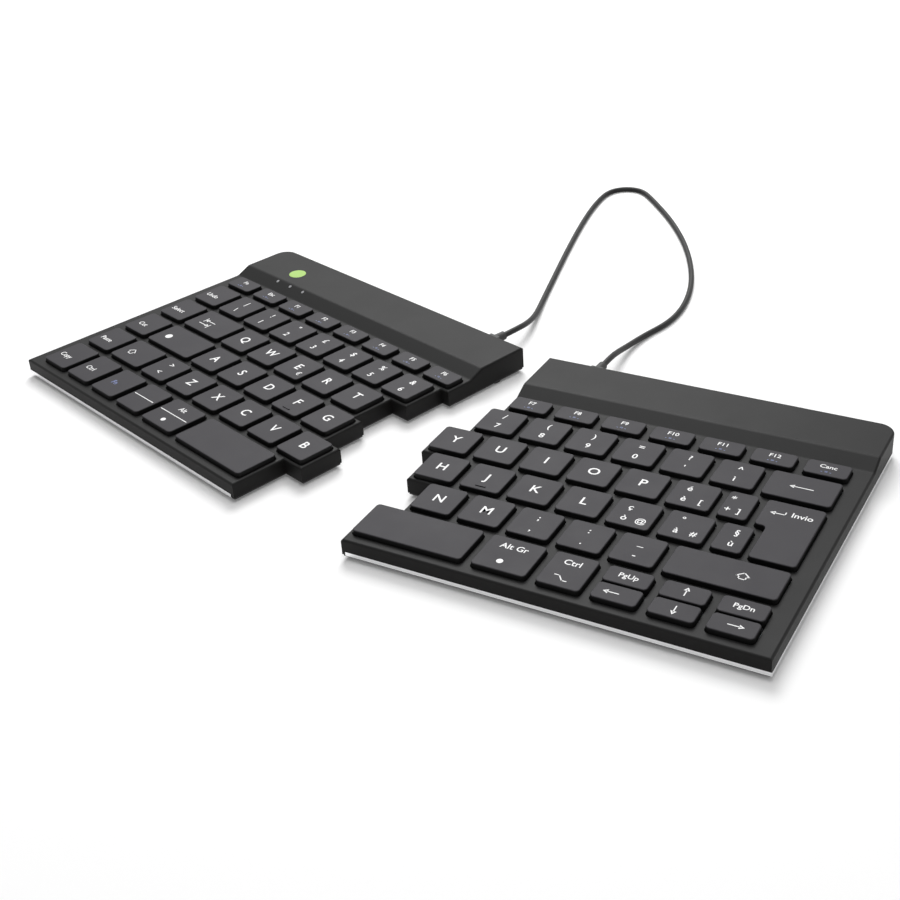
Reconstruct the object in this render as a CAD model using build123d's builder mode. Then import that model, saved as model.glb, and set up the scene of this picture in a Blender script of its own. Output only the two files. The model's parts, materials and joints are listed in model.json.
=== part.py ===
from build123d import *
from collections import namedtuple
from math import asin, atan2, cos, degrees, pi, radians, sin, tan
import os

# An ergonomic keyboard in two flat halves that lie splayed on the desk, joined by a thin cord.
# Sizes are in millimetres and angles in degrees. Z is up, and the desk is at z = 0.
# Each half has its own plan frame: x along its key rows, y away from the user, with the centre
# of the Y key (right half) or of the Q key (left half) at the frame's origin.

os.makedirs("parts", exist_ok=True)

# How the halves lie on the desk
half_turn = 8.93
right_x, right_y = 23.14, -12.55
left_x, left_y = -106.72, 4.74

# Key field
key_pitch = 19.0
number_row_squeeze = 0.05
function_row_stretch = 0.6
row_gap = 3.0
function_depth = 9.0
function_gap = 3.05
bottom_depth = 18.2
bottom_row_gap = 3.2
right_function_start = 14.5
left_function_start = -8.65
narrow_key = 10.5
enter_notch = 4.4
enter_width = 20.6
modifier_key = 15.7
alt_key = 20.3
arrow_key = 15.8
bottom_gap = 3.6
left_space_bar = 42.3
right_space_bar = 43.0
arrow_split = 1.0

# Keycap
key_top = 10.2
cap_height = 2.8
cap_crown = 1.2
cap_wall = 0.9
cap_corner = 1.6
cap_edge = 0.45
key_clearance = 0.4
tactile_bar_length = 4.2
tactile_bar_width = 0.7
tactile_bar_height = 0.3
tactile_bar_setback = 2.2

# Case
deck_top = 8.3
deck_thickness = 1.2
case_wall = 1.0
front_margin = 4.2
inner_margin = 1.8
outer_margin = 7.3
outer_corner = 6.5
left_front_corner = 2.8
step_corner = 1.9
case_edge = 0.9
hump_top = 11.3
hump_setback = 1.95
hump_run = 6.8
hump_depth = 23.8
hump_blend = 3.0
hump_wall = 1.4

# Base cover, its ribs and its feet
foot_height = 0.9
base_thickness = 1.2
base_inset = 0.4
base_chamfer = 0.4
rib_width = 1.4
rib_end = 6.0
foot_length = 14.0
foot_width = 5.0
foot_corner = 2.2
foot_seat = 0.3
foot_setback = 9.0
foot_clearance = 0.1
base_bottom = foot_height
base_top = base_bottom + base_thickness

# Bright trim strip along the front and the outer side
trim_height = 1.5
trim_depth = 0.5
trim_proud = 0.3
trim_clearance = 0.05
trim_start = 1.5

# Key mechanism, from the plate up
plate_height = 4.0
plate_thickness = 0.6
plate_margin = 0.5
plate_slot = 2.4
membrane_thickness = 0.3
membrane_inset = 0.2
membrane_tail = 22.0
dome_base = 3.2
dome_tip = 1.7
small_dome_base = 1.7
small_dome_tip = 1.0
dome_wall = 0.5
lever_thickness = 0.7
lever_bar = 0.9
lever_length = 11.0
small_lever_length = 6.6
outer_lever_width = 12.4
inner_lever_width = 9.4
lever_pin = 0.3
lever_clearance = 0.05
quarter_turn = 90

# Screws and the bosses that take them
screw_radius = 0.95
screw_hole = 1.0
screw_passage = 1.1
screw_head_radius = 1.9
screw_head_height = 0.7
screw_bore_radius = 2.1
screw_bore_depth = 0.8
screw_length = 4.6
screw_slot = 0.45
boss_radius = 2.3
hump_boss_setback = 5.0
hump_boss_inset = 9.0

# Electronics in the humps
board_thickness = 1.0
board_width = 62.0
board_depth = 15.0
board_setback = 3.0
board_height = 3.6
right_board_x = 78.0
left_board_x = 38.0
board_tab = 26.0
chip_size = 7.0
chip_height = 0.9
post_radius = 1.8
battery_length = 56.0
battery_width = 17.0
battery_height = 4.6
battery_corner = 1.6
battery_x = -24.0
socket_width = 9.0
socket_height = 3.2
socket_depth = 7.3
socket_wall = 0.4
socket_clearance = 0.15
switch_knob_width = 3.0
switch_knob_height = 1.8
switch_knob_proud = 0.9
switch_knob_depth = 3.0
switch_travel = 2.0
switch_clearance = 0.25
socket_offset = -6.0
switch_offset = 7.0
switch_body_width = 9.0
switch_body_depth = 3.6
switch_body_height = 2.6
status_x = -35.1
status_setback = 8.6
status_radius = 4.0
status_thickness = 0.9
status_proud = 0.1
status_clearance = 0.05
indicator_radius = 0.7
indicator_pitch = 9.4
indicator_x = -37.3
indicator_setback = 5.3
indicator_depth = 3.3
indicator_count = 3

# Link cord and its strain reliefs
cord_radius = 1.25
cord_exit = 7.4
left_relief_x = 79.5
right_relief_x = 25.0
relief_width = 6.4
relief_height = 4.4
relief_block = 3.0
relief_cone = 5.0
relief_tip = 1.9
relief_flange = 1.2
relief_flange_margin = 1.0
relief_clearance = 0.1
relief_corner = 1.2
cord_lead = 8.1
cord_lift = 0.05
arc_share = 0.45

overrun = 2.0

key_size = key_pitch - row_gap
number_pitch = key_pitch - number_row_squeeze
function_pitch = key_pitch + function_row_stretch
plate_top = plate_height + plate_thickness
membrane_top = plate_top + membrane_thickness
cap_foot = key_top - cap_height
cap_underside = key_top - cap_crown
deck_underside = deck_top - deck_thickness
board_top = board_height + board_thickness
switch_middle = board_top + switch_body_height / 2

Key = namedtuple("Key", "x y width depth")
Half = namedtuple("Half", "name plane outward outer rows steps field_outer board_x relief_x")


def spanning(low, high, y, depth=key_size):
    """A key that reaches from x = low to x = high."""
    return Key((low + high) / 2, y, high - low, depth)


def run_of_keys(start, y, count, pitch=key_pitch, depth=key_size):
    """Like keys in a row, the first one centred on x = start."""
    return [Key(start + n * pitch, y, key_size, depth) for n in range(count)]


# Row centres, from the letter row of Q and Y
number_y = key_pitch
function_y = number_y + (key_size + function_depth) / 2 + function_gap
home_y = -key_pitch
lower_y = -2 * key_pitch
bottom_y = lower_y - (key_size + bottom_depth) / 2 - bottom_row_gap

# The case, from its front to its back, with what sits in the hump
case_front = bottom_y - bottom_depth / 2 - front_margin
hump_foot = function_y + function_depth / 2 + hump_setback
hump_crest = hump_foot + hump_run
case_back = hump_crest + hump_depth
board_front = hump_foot + board_setback
indicator_y = hump_foot + indicator_setback
status_y = hump_crest + status_setback

# Lines between the rows, from the back to the front: the stepped inner edge turns on them
row_lines = [
    case_back,
    (number_y + key_size / 2 + function_y - function_depth / 2) / 2,
    key_pitch / 2,
    -key_pitch / 2,
    -3 * key_pitch / 2,
    (lower_y - key_size / 2 + bottom_y + bottom_depth / 2) / 2,
    case_front,
]

# Right half
right_numbers = run_of_keys(key_pitch / 2, number_y, 6, number_pitch)
right_letters = run_of_keys(0, 0, 6)
right_home = run_of_keys(key_pitch / 4, home_y, 6)
right_lower = run_of_keys(3 * key_pitch / 4, lower_y, 5)


def after(keys, gap=row_gap):
    """Where the next key starts, one gap past the last of these keys."""
    return keys[-1].x + keys[-1].width / 2 + gap


plus_left = after(right_letters)
accent_left = after(right_home)
half_depth = (bottom_depth - arrow_split) / 2
upper_half_y = bottom_y + (bottom_depth - half_depth) / 2
lower_half_y = bottom_y - (bottom_depth - half_depth) / 2
right_field_edge = plus_left + narrow_key + row_gap + enter_width
arrow_right = [right_field_edge - n * (arrow_key + bottom_gap) for n in (2, 1, 0)]
right_ctrl_right = arrow_right[0] - arrow_key - bottom_gap
alt_gr_right = right_ctrl_right - modifier_key - bottom_gap
right_space_right = alt_gr_right - alt_key - bottom_gap
upper_arrows = [spanning(edge - arrow_key, edge, upper_half_y, half_depth) for edge in arrow_right]
lower_arrows = [spanning(edge - arrow_key, edge, lower_half_y, half_depth) for edge in arrow_right]
enter_top = spanning(right_field_edge - enter_width, right_field_edge, 0)
enter_leg = spanning(enter_top.x - enter_top.width / 2 + enter_notch, right_field_edge, home_y)

right_rows = {
    "right_function_keys": run_of_keys(
        right_function_start, function_y, 7, function_pitch, function_depth
    ),
    "right_number_keys": right_numbers,
    "backspace_key": [spanning(after(right_numbers), right_field_edge, number_y)],
    "right_y_row_keys": right_letters + [spanning(plus_left, plus_left + narrow_key, 0)],
    "enter_key": [enter_top],
    "right_h_row_keys": right_home + [spanning(accent_left, accent_left + narrow_key, home_y)],
    "right_n_row_keys": right_lower,
    "right_shift_key": [spanning(after(right_lower), right_field_edge, lower_y)],
    "right_space_key": [
        spanning(right_space_right - right_space_bar, right_space_right, bottom_y, bottom_depth)
    ],
    "alt_gr_key": [spanning(alt_gr_right - alt_key, alt_gr_right, bottom_y, bottom_depth)],
    "right_ctrl_key": [
        spanning(right_ctrl_right - modifier_key, right_ctrl_right, bottom_y, bottom_depth)
    ],
    "page_up_key": [upper_arrows[0]],
    "arrow_up_key": [upper_arrows[1]],
    "page_down_key": [upper_arrows[2]],
    "arrow_left_key": [lower_arrows[0]],
    "arrow_down_key": [lower_arrows[1]],
    "arrow_right_key": [lower_arrows[2]],
}

# Left half
left_field_edge = -3 * key_pitch / 2 - key_size / 2
left_numbers = run_of_keys(-3 * key_pitch / 2, number_y, 7, number_pitch)
left_letters = run_of_keys(0, 0, 5)
left_home = run_of_keys(key_pitch / 4, home_y, 5)
left_lower = run_of_keys(-key_pitch / 4, lower_y, 6)
shortcut_x = -5 * key_pitch / 2
left_modifiers = [
    spanning(edge, edge + modifier_key, bottom_y, bottom_depth)
    for edge in [left_field_edge + n * (modifier_key + bottom_gap) for n in (0, 1, 2)]
]
left_alt_left = after(left_modifiers, bottom_gap)
left_modifiers.append(spanning(left_alt_left, left_alt_left + alt_key, bottom_y, bottom_depth))
left_space_left = after(left_modifiers, bottom_gap)


def before(keys):
    """Where a key that ends just ahead of these keys stops."""
    return keys[0].x - keys[0].width / 2 - row_gap


left_rows = {
    "left_function_keys": run_of_keys(
        left_function_start - 2 * function_pitch, function_y, 8, function_pitch, function_depth
    ),
    "left_number_keys": left_numbers,
    "left_shortcut_keys": [
        Key(shortcut_x, number_y, key_size, key_size),
        Key(shortcut_x, 0, key_size, key_size),
        Key(shortcut_x, home_y, key_size, key_size),
        Key(shortcut_x, lower_y, key_size, key_size),
        Key(shortcut_x, bottom_y, key_size, bottom_depth),
    ],
    "tab_key": [spanning(left_field_edge, before(left_letters), 0)],
    "left_q_row_keys": left_letters,
    "caps_lock_key": [spanning(left_field_edge, before(left_home), home_y)],
    "left_a_row_keys": left_home,
    "left_shift_key": [spanning(left_field_edge, before(left_lower), lower_y)],
    "left_z_row_keys": left_lower,
    "left_modifier_keys": left_modifiers,
    "left_space_key": [
        spanning(left_space_left, left_space_left + left_space_bar, bottom_y, bottom_depth)
    ],
}


def inner_edge(keys, outward):
    """The inner edge of the case beside a row: its end key plus the margin."""
    if outward > 0:
        return min(k.x - k.width / 2 for k in keys) - inner_margin
    return max(k.x + k.width / 2 for k in keys) + inner_margin


def make_half(name, x, y, turn, outward, rows, stepped, field_outer, board_x, relief_x):
    plane = Plane(origin=(x, y, 0), x_dir=(cos(radians(turn)), sin(radians(turn)), 0), z_dir=(0, 0, 1))
    steps = [inner_edge(rows[row], outward) for row in stepped]
    outer = field_outer + outward * outer_margin
    return Half(name, plane, outward, outer, rows, steps, field_outer, board_x, relief_x)


right_half = make_half(
    "right", right_x, right_y, half_turn, 1, right_rows,
    ["right_function_keys", "right_number_keys", "right_y_row_keys", "right_h_row_keys",
     "right_n_row_keys", "right_space_key"],
    right_field_edge, right_board_x, right_relief_x,
)
left_half = make_half(
    "left", left_x, left_y, -half_turn, -1, left_rows,
    ["left_function_keys", "left_number_keys", "left_q_row_keys", "left_a_row_keys",
     "left_z_row_keys", "left_space_key"],
    shortcut_x - key_size / 2, left_board_x, left_relief_x,
)


def outline(half, inset=0.0, outer=None, back=case_back):
    """Corner points of the half's stepped plan, drawn in by an inset on every side."""
    outer = (half.outer if outer is None else outer) - half.outward * inset
    lines = [back] + row_lines[1:]
    points = [(outer, lines[0] - inset), (outer, lines[-1] + inset)]
    for n in reversed(range(len(half.steps))):
        edge = half.steps[n] + half.outward * inset
        front, rear = lines[n + 1], lines[n]
        if n == len(half.steps) - 1:
            front += inset
        else:
            further_out = half.outward * (half.steps[n] - half.steps[n + 1]) < 0
            front += inset if further_out else -inset
        if n == 0:
            rear -= inset
        else:
            further_out = half.outward * (half.steps[n] - half.steps[n - 1]) < 0
            rear += -inset if further_out else inset
        points += [(edge, front), (edge, rear)]
    return points


def draw_outline(sketch, half, inset=0.0, round_steps=True):
    """The half's plan as a face, with its corners rounded. It is called inside a sketch."""
    Polygon(*outline(half, inset), align=None)
    by_x = sketch.vertices().sort_by(Axis.X)
    outer_ends = by_x[-2:] if half.outward > 0 else by_x[:2]
    steps = by_x[:-2] if half.outward > 0 else by_x[2:]
    front_end, back_end = outer_ends.sort_by(Axis.Y)
    front_corner = outer_corner if half.outward > 0 else left_front_corner
    fillet(back_end, outer_corner - inset)
    fillet(front_end, front_corner - inset)
    if round_steps:
        fillet(steps, step_corner)


def enter_outline(grow=0.0):
    """The tall enter key: a wide head in the letter row and a narrower leg in the home row."""
    with Locations((enter_top.x, enter_top.y)):
        Rectangle(enter_top.width + 2 * grow, enter_top.depth + 2 * grow)
    leg_back = enter_top.y
    leg_front = enter_leg.y - enter_leg.depth / 2
    with Locations((enter_leg.x, (leg_back + leg_front) / 2 - grow / 2)):
        Rectangle(enter_leg.width + 2 * grow, leg_back - leg_front + grow)


def draw_keys(sketch, name, keys, grow=0.0):
    """Rounded key feet, grown on every side. It is called inside a sketch."""
    if name == "enter_key":
        enter_outline(grow)
        fillet(sketch.vertices(), cap_corner + max(grow, -cap_wall))
        return
    for key in keys:
        with Locations((key.x, key.y)):
            RectangleRounded(key.width + 2 * grow, key.depth + 2 * grow, cap_corner + grow)


def side_plane(half, x):
    """Upright plane across a half: its own x is the half's y, and its y is up."""
    return Plane(
        origin=half.plane.from_local_coords((x, 0, 0)),
        x_dir=half.plane.y_dir,
        z_dir=half.plane.x_dir,
    )


def above_skin(half, drop=0.0):
    """What lies above the deck and the hump, both lowered by a drop."""
    slope = atan2(hump_top - deck_top, hump_crest - hump_foot)
    shift = drop * tan(slope / 2)
    ceiling = hump_top + overrun
    reach = abs(half.outer - half.steps[0]) / 2 + key_pitch
    with BuildPart() as above:
        with BuildSketch(side_plane(half, (half.outer + half.steps[0]) / 2)) as profile:
            with BuildLine():
                Polyline(
                    (case_front - overrun, deck_top - drop),
                    (hump_foot + shift, deck_top - drop),
                    (hump_crest + shift, hump_top - drop),
                    (case_back + overrun, hump_top - drop),
                    (case_back + overrun, ceiling),
                    (case_front - overrun, ceiling),
                    close=True,
                )
            make_face()
            bends = profile.vertices().filter_by_position(
                Axis.X, hump_foot - overrun, hump_crest + overrun
            )
            fillet(bends, hump_blend)
        extrude(amount=reach, both=True)
    return above.part


def save(part, name):
    part.label = name
    export_step(part, f"parts/{name}.step")


def make_base_cover(half):
    """Lower shell: a floor with a bevelled rim, ribs that carry the key plate, and foot seats."""
    underside = Plane(
        origin=half.plane.from_local_coords((0, 0, base_bottom)),
        x_dir=half.plane.x_dir,
        z_dir=(0, 0, -1),
    )
    with BuildPart() as cover:
        with BuildSketch(half.plane.offset(base_bottom)) as floor:
            draw_outline(floor, half, base_inset)
        extrude(amount=base_thickness)
        chamfer(cover.faces().sort_by(Axis.Z)[0].edges(), base_chamfer)
        with BuildSketch(half.plane.offset(base_top)):
            for x, y, length in rib_places(half):
                with Locations((x, y)):
                    Rectangle(length, rib_width)
        extrude(amount=plate_height - base_top)
        with BuildSketch(half.plane.offset(base_top)):
            with Locations(*post_places(half)):
                Circle(post_radius)
        extrude(amount=board_height - base_top)
        with BuildSketch(half.plane.offset(base_bottom)):
            with Locations(*foot_places(half)):
                RectangleRounded(
                    foot_length + 2 * foot_clearance, foot_width + 2 * foot_clearance, foot_corner
                )
        extrude(amount=foot_seat, mode=Mode.SUBTRACT)
        with Locations(underside):
            with Locations(*[(x, -y) for x, y in field_bosses(half) + hump_bosses(half)]):
                CounterBoreHole(screw_passage, screw_bore_radius, screw_bore_depth, base_thickness)
    return cover.part


def rib_places(half):
    """A rib under the middle of each key row, as x, y and length."""
    ribs = []
    for n, edge in enumerate(half.steps):
        middle = (row_lines[n] + row_lines[n + 1]) / 2 if n else function_y
        near = edge + half.outward * rib_end
        far = half.field_outer - half.outward * rib_end
        ribs.append(((near + far) / 2, middle, abs(far - near)))
    return ribs


def post_places(half):
    """Posts under the corners of the circuit board."""
    reach_x = board_width / 2 - 2 * post_radius
    reach_y = board_depth / 2 - 2 * post_radius
    middle_y = board_front + board_depth / 2
    return [(half.board_x + i * reach_x, middle_y + j * reach_y) for i in (-1, 1) for j in (-1, 1)]


def foot_places(half):
    """Feet near the four corners, and one under the middle of the front edge."""
    outer = half.outer - half.outward * (foot_length / 2 + outer_corner + screw_bore_radius)
    inner_back = half.steps[0] + half.outward * (foot_length / 2 + 3 * base_inset)
    inner_front = half.steps[-1] + half.outward * (foot_length / 2 + step_corner)
    back = case_back - foot_setback - hump_boss_setback
    front = case_front + foot_setback
    middle = ((outer + inner_front) / 2, front)
    return [(outer, back), (inner_back, back), (outer, front), (inner_front, front), middle]


def field_bosses(half):
    """Screw bosses beside the keys, in the outer margin."""
    x = half.field_outer + half.outward * (key_clearance + outer_margin - case_wall) / 2
    return [(x, 0), (x, lower_y)]


def hump_bosses(half):
    """Screw bosses along the back of the hump."""
    y = case_back - hump_boss_setback
    inner = half.steps[0] + half.outward * hump_boss_inset
    outer = half.outer - half.outward * hump_boss_inset
    return [(inner, y), ((inner + outer) / 2, y), (outer, y)]


def make_feet(half):
    with BuildPart() as feet:
        with BuildSketch(half.plane):
            with Locations(*foot_places(half)):
                RectangleRounded(foot_length, foot_width, foot_corner - foot_clearance)
        extrude(amount=foot_height + foot_seat)
        chamfer(feet.faces().group_by(Axis.Z)[0].edges(), foot_clearance)
    return feet.part


def make_trim_band(half, proud, depth, height):
    """A band that follows the case's plan along its front edge and its outer side."""
    start = half.steps[-1] + half.outward * trim_start
    far = half.outer + half.outward * overrun
    side_near = half.outer - half.outward * outer_corner
    side_back = case_back - outer_corner
    with BuildPart() as band:
        with BuildSketch(half.plane.offset(base_top)) as plan:
            draw_outline(plan, half, -proud)
        extrude(amount=height)
        with BuildSketch(half.plane.offset(base_top)) as core:
            draw_outline(core, half, depth)
        extrude(amount=height, mode=Mode.SUBTRACT)
        with BuildSketch(half.plane.offset(base_top)):
            with Locations(((start + far) / 2, case_front)):
                Rectangle(abs(far - start), 2 * outer_corner)
            with Locations(((side_near + far) / 2, (side_back + case_front) / 2)):
                Rectangle(abs(far - side_near), side_back - case_front)
        extrude(amount=height, mode=Mode.INTERSECT)
    return band.part


def deck_openings(half):
    """The keys that open the deck. Each stacked pair of arrow keys shares one opening."""
    stacked = upper_arrows + lower_arrows
    opened = {name: keys for name, keys in half.rows.items() if keys[0] not in stacked}
    if half.outward > 0:
        opened["arrow_pairs"] = [
            spanning(edge - arrow_key, edge, bottom_y, bottom_depth) for edge in arrow_right
        ]
    return opened


def make_cavity(half):
    """The room inside the upper shell, under the deck and the hump."""
    lowered_roof = above_skin(half, deck_thickness)
    with BuildPart() as cavity:
        with BuildSketch(half.plane.offset(base_top)) as inside:
            draw_outline(inside, half, case_wall, round_steps=False)
        extrude(amount=hump_top - hump_wall - base_top)
        add(lowered_roof, mode=Mode.SUBTRACT)
    return cavity.part


def make_top_case(half):
    """Upper shell: the deck with an opening for each key, and the hump along its back."""
    roof = above_skin(half)
    cavity = make_cavity(half)
    groove = make_trim_band(half, overrun, trim_depth + trim_clearance, trim_height + trim_clearance)
    ports = make_ports(half)
    with BuildPart() as case:
        with BuildSketch(half.plane.offset(base_top)) as plan:
            draw_outline(plan, half)
        extrude(amount=hump_top + overrun / 2 - base_top)
        add(roof, mode=Mode.SUBTRACT)
        skins = [f for f in case.faces() if f.normal_at().Z > trim_clearance]
        walls = [f for f in case.faces() if abs(f.normal_at().Z) < trim_clearance]
        wall_edges = [e for f in walls for e in f.edges()]
        rim = [e for f in skins for e in f.edges() if e in wall_edges]
        fillet(rim, case_edge)
        add(cavity, mode=Mode.SUBTRACT)
        with BuildSketch(half.plane.offset(base_top)):
            with Locations(*field_bosses(half)):
                Circle(boss_radius)
        extrude(amount=deck_underside - base_top + deck_thickness / 2)
        with BuildSketch(half.plane.offset(base_top)):
            with Locations(*hump_bosses(half)):
                Circle(boss_radius)
        extrude(amount=hump_top - hump_wall / 2 - base_top)
        with BuildSketch(half.plane.offset(base_top)):
            with Locations(*field_bosses(half), *hump_bosses(half)):
                Circle(screw_hole)
        extrude(amount=screw_length, mode=Mode.SUBTRACT)
        add(groove, mode=Mode.SUBTRACT)
        for name, keys in deck_openings(half).items():
            with BuildSketch(half.plane.offset(deck_underside - trim_clearance)) as holes:
                draw_keys(holes, name, keys, key_clearance)
            extrude(amount=hump_top, mode=Mode.SUBTRACT)
        add(ports, mode=Mode.SUBTRACT)
    return case.part


def back_plane(half, x, y=case_back):
    """Upright plane on the back wall, facing away from the user, with its own y upwards."""
    return Plane(
        origin=half.plane.from_local_coords((x, y, 0)),
        x_dir=-half.plane.x_dir,
        z_dir=half.plane.y_dir,
    )


def make_ports(half):
    """The holes through the hump: the cord's on both halves, more for the left one's fittings."""
    through = -case_wall - overrun
    with BuildPart() as ports:
        with BuildSketch(back_plane(half, half.relief_x, case_back + overrun)):
            with Locations((0, cord_exit)):
                RectangleRounded(
                    relief_width + 2 * relief_clearance,
                    relief_height + 2 * relief_clearance,
                    relief_corner,
                )
        extrude(amount=through - overrun)
        if half.outward < 0:
            with BuildSketch(back_plane(half, half.board_x + socket_offset, case_back + overrun)):
                with Locations((0, board_top + socket_height / 2)):
                    RectangleRounded(
                        socket_width + 2 * socket_clearance,
                        socket_height + 2 * socket_clearance,
                        socket_height / 2,
                    )
            extrude(amount=through - overrun)
            slot_x = half.board_x + switch_offset + switch_travel / 2
            with BuildSketch(back_plane(half, slot_x, case_back + overrun)):
                with Locations((0, switch_middle)):
                    Rectangle(
                        switch_knob_width + switch_travel + 2 * switch_clearance,
                        switch_knob_height + 2 * switch_clearance,
                    )
            extrude(amount=through - overrun)
            with BuildSketch(half.plane.offset(deck_underside)):
                with Locations((status_x, status_y)):
                    Circle(status_radius + status_clearance)
                with Locations(*indicator_places()):
                    Circle(indicator_radius + status_clearance)
            extrude(amount=hump_top)
    return ports.part


def indicator_places():
    return [(indicator_x + n * indicator_pitch, indicator_y) for n in range(indicator_count)]


def make_key_plate(half):
    """Steel plate under the keys, with two slots for each key's levers to hook into."""
    with BuildPart() as plate:
        with BuildSketch(half.plane.offset(plate_height)):
            draw_field(half, case_wall + plate_margin)
            with Locations(*[(x, y) for x, y, turn, small in mechanisms(half)]):
                with GridLocations(inner_lever_width, inner_lever_width, 2, 1):
                    Rectangle(lever_bar, plate_slot, mode=Mode.SUBTRACT)
        extrude(amount=plate_thickness)
    return plate.part


def draw_field(half, inset):
    """The plan under the key field, short of the screw bosses and of the hump."""
    outer = half.field_outer + half.outward * (plate_margin + inset)
    Polygon(*outline(half, inset, outer, hump_foot), align=None)


def make_membrane(half):
    """Printed contact sheet on the plate, with a tail that reaches the circuit board."""
    with BuildPart() as sheet:
        with BuildSketch(half.plane.offset(plate_top)):
            draw_field(half, case_wall + plate_margin + membrane_inset)
            tail = board_front - hump_foot + board_depth / 2
            with Locations((half.board_x, hump_foot - overrun + tail / 2)):
                Rectangle(membrane_tail, tail)
        extrude(amount=membrane_thickness)
    return sheet.part


def mechanisms(half):
    """Each key's mechanism as x, y, turn and whether it is the small kind, for slender keys."""
    places = []
    for name, keys in half.rows.items():
        for key in keys:
            if name == "enter_key":
                places.append((enter_leg.x, (enter_top.y + enter_leg.y) / 2, 0, False))
            elif key.width < outer_lever_width:
                places.append((key.x, key.y, quarter_turn, True))
            else:
                places.append((key.x, key.y, 0, key.depth < outer_lever_width))
    return places


def mechanism_locations(half, small):
    """Where the mechanisms of one kind stand on the membrane."""
    return [
        half.plane.location * Location((x, y, membrane_top), (0, 0, turn))
        for x, y, turn, kind in mechanisms(half)
        if kind == small
    ]


def make_domes(half):
    """Rubber domes, one under the middle of each key, hollow over the contact."""
    height = cap_underside - membrane_top
    with BuildPart() as domes:
        kinds = ((False, dome_base, dome_tip), (True, small_dome_base, small_dome_tip))
        for small, base, tip in kinds:
            with Locations(*mechanism_locations(half, small)):
                Cone(base, tip, height, align=(Align.CENTER, Align.CENTER, Align.MIN))
            with Locations(*mechanism_locations(half, small)):
                Cone(
                    base - dome_wall, tip - dome_wall, height - 2 * dome_wall,
                    align=(Align.CENTER, Align.CENTER, Align.MIN), mode=Mode.SUBTRACT,
                )
    return domes.part


def make_lever(width, length, side, pins):
    """One frame of a key's scissor pair, standing at its rest tilt over the origin."""
    height = cap_underside - membrane_top - 2 * lever_clearance
    tilt = side * degrees(asin((height - lever_thickness) / length))
    middle = height / 2 + lever_clearance
    across = Plane(origin=(0, 0, middle)).rotated((tilt, 0, 0))
    with BuildPart() as lever:
        with BuildSketch(across.offset(-lever_thickness / 2)):
            RectangleRounded(width, length, lever_bar)
            Rectangle(width - 2 * lever_bar, length - 2 * lever_bar, mode=Mode.SUBTRACT)
        extrude(amount=lever_thickness)
        if pins:
            reach = (outer_lever_width - width) / 2 - lever_bar - lever_clearance
            for end in (-1, 1):
                pin_plane = Plane(origin=(end * (width - lever_bar) / 2, 0, middle), z_dir=(end, 0, 0))
                with BuildSketch(pin_plane):
                    Circle(lever_pin)
                extrude(amount=lever_bar / 2 + reach)
    return lever.part


def make_levers(half, width, side, pins):
    """All of a half's scissor frames of one kind, a shorter pattern under half-depth keys."""
    long_frame = make_lever(width, lever_length, side, pins)
    short_frame = make_lever(width, small_lever_length, side, pins)
    with BuildPart() as levers:
        with Locations(*mechanism_locations(half, False)):
            add(long_frame)
        with Locations(*mechanism_locations(half, True)):
            add(short_frame)
    return levers.part


def make_caps(half, name, keys):
    """Keycaps: a crowned slab with a skirt, hollow underneath, with its top edge rounded."""
    with BuildPart() as caps:
        with BuildSketch(half.plane.offset(cap_foot)) as feet:
            draw_keys(feet, name, keys)
        extrude(amount=cap_height)
        fillet(caps.faces().group_by(Axis.Z)[-1].edges(), cap_edge)
        with BuildSketch(half.plane.offset(cap_foot)) as hollows:
            draw_keys(hollows, name, keys, -cap_wall)
        extrude(amount=cap_height - cap_crown, mode=Mode.SUBTRACT)
        bars = tactile_places(name, keys)
        if bars:
            with BuildSketch(half.plane.offset(key_top - tactile_bar_height)):
                with Locations(*bars):
                    SlotOverall(tactile_bar_length, tactile_bar_width)
            extrude(amount=2 * tactile_bar_height)
    return caps.part


def tactile_places(name, keys):
    """The raised bars that the first fingers feel for, on the home row."""
    finger = {"left_a_row_keys": 3, "right_h_row_keys": 1}.get(name)
    if finger is None:
        return []
    key = keys[finger]
    return [(key.x, key.y - key.depth / 2 + tactile_bar_setback)]


def make_screws(half):
    """Case screws with cross-slotted heads, all like each other."""
    head_bottom = base_bottom + screw_bore_depth - screw_head_height
    with BuildPart() as screws:
        with BuildSketch(half.plane.offset(head_bottom)):
            with Locations(*field_bosses(half), *hump_bosses(half)):
                Circle(screw_head_radius)
        extrude(amount=screw_head_height)
        with BuildSketch(half.plane.offset(head_bottom + screw_head_height)):
            with Locations(*field_bosses(half), *hump_bosses(half)):
                Circle(screw_radius)
        extrude(amount=screw_length - screw_head_height)
        with BuildSketch(half.plane.offset(head_bottom)):
            with Locations(*field_bosses(half), *hump_bosses(half)):
                Rectangle(2 * screw_head_radius - screw_slot * 2, screw_slot)
                Rectangle(screw_slot, 2 * screw_head_radius - screw_slot * 2)
        extrude(amount=screw_head_height / 2, mode=Mode.SUBTRACT)
    return screws.part


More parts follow.
